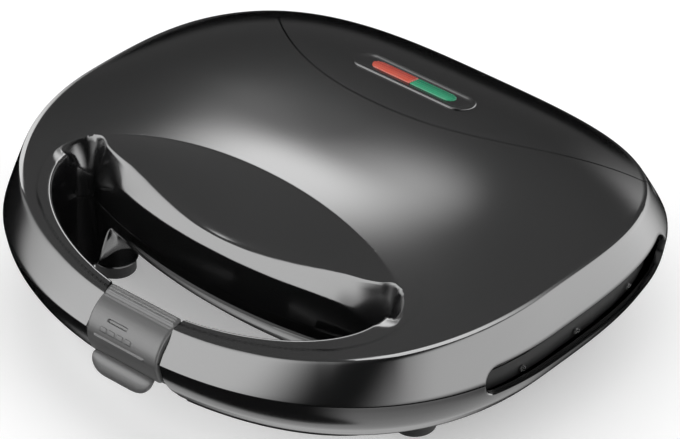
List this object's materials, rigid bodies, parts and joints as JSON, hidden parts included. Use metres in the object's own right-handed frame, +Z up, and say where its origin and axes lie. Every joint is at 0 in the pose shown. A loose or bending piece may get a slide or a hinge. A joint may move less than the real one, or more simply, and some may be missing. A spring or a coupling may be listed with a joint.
{
  "type": "sandwich toaster",
  "caption": "Countertop sandwich toaster: domed lid hinged at the rear over a matching base, hot plates inside, open handle bow with swinging latch, two lamp lenses.",
  "frame": {"origin": "centre of the footprint, on the surface the feet stand on", "axes": "+Z up, front with handle and latch towards -Y, hinges at +Y, lid opens up and back"},
  "size_m": [0.2388, 0.2258, 0.077],
  "materials": {
    "black_casing": "satin moulded black",
    "bright_steel": "bright drawn",
    "carrier_plastic": "polished",
    "foot_rubber": "matt",
    "frame_plastic": "fine spark texture",
    "fuse_tin": "tinned",
    "green_lens_plastic": "ribbed translucent",
    "heater_steel": "heat-darkened sheath",
    "inlet_plastic": "moulded",
    "lamp_glass": "clear",
    "latch_plastic": "satin",
    "lead_sleeve": "glass-fibre sleeve",
    "non_stick_plate": "non-stick coated cast aluminium",
    "red_lens_plastic": "ribbed translucent",
    "screw_steel": "zinc plated",
    "shield_steel": "aluminised sheet",
    "terminal_plastic": "moulded ceramic white",
    "thermostat_body": "brass and mica"
  },
  "bodies": {
    "base": {"lower_casing": "black_casing", "lower_frame": "frame_plastic", "lower_plate": "non_stick_plate", "lower_heater": "heater_steel", "lower_heat_shield": "shield_steel", "lower_plate_screws": "screw_steel", "lower_frame_screws": "screw_steel", "thermostat": "thermostat_body", "thermal_fuse": "fuse_tin", "terminal_block": "terminal_plastic", "lower_leads": "lead_sleeve", "cord_gland": "inlet_plastic", "cord_clamp": "inlet_plastic", "cord_clamp_screws": "screw_steel", "foot_front_left": "foot_rubber", "foot_front_right": "foot_rubber", "foot_rear_left": "foot_rubber", "foot_rear_right": "foot_rubber", "hinge_pin_left": "bright_steel", "hinge_pin_right": "bright_steel", "side_rivets": "bright_steel"},
    "lid": {"upper_casing": "black_casing", "upper_frame": "frame_plastic", "upper_plate": "non_stick_plate", "upper_heater": "heater_steel", "upper_heat_shield": "shield_steel", "upper_plate_screws": "screw_steel", "upper_frame_screws": "screw_steel", "upper_leads": "lead_sleeve", "lamp_carrier": "carrier_plastic", "red_lens": "red_lens_plastic", "green_lens": "green_lens_plastic", "power_lamp": "lamp_glass", "ready_lamp": "lamp_glass", "latch_pin": "bright_steel", "latch_spring": "bright_steel"},
    "latch": {"latch": "latch_plastic"}
  },
  "joints": [
    {"name": "lid_hinge", "type": "hinge", "parent": "base", "child": "lid", "pos_m": [0, 0.107, 0.032], "axis": [-1, 0, 0], "range_deg": [0, 105]},
    {"name": "latch_pivot", "type": "hinge", "parent": "lid", "child": "latch", "pos_m": [0, -0.0985, 0.049], "axis": [-1, 0, 0], "range_deg": [0, 50]}
  ]
}
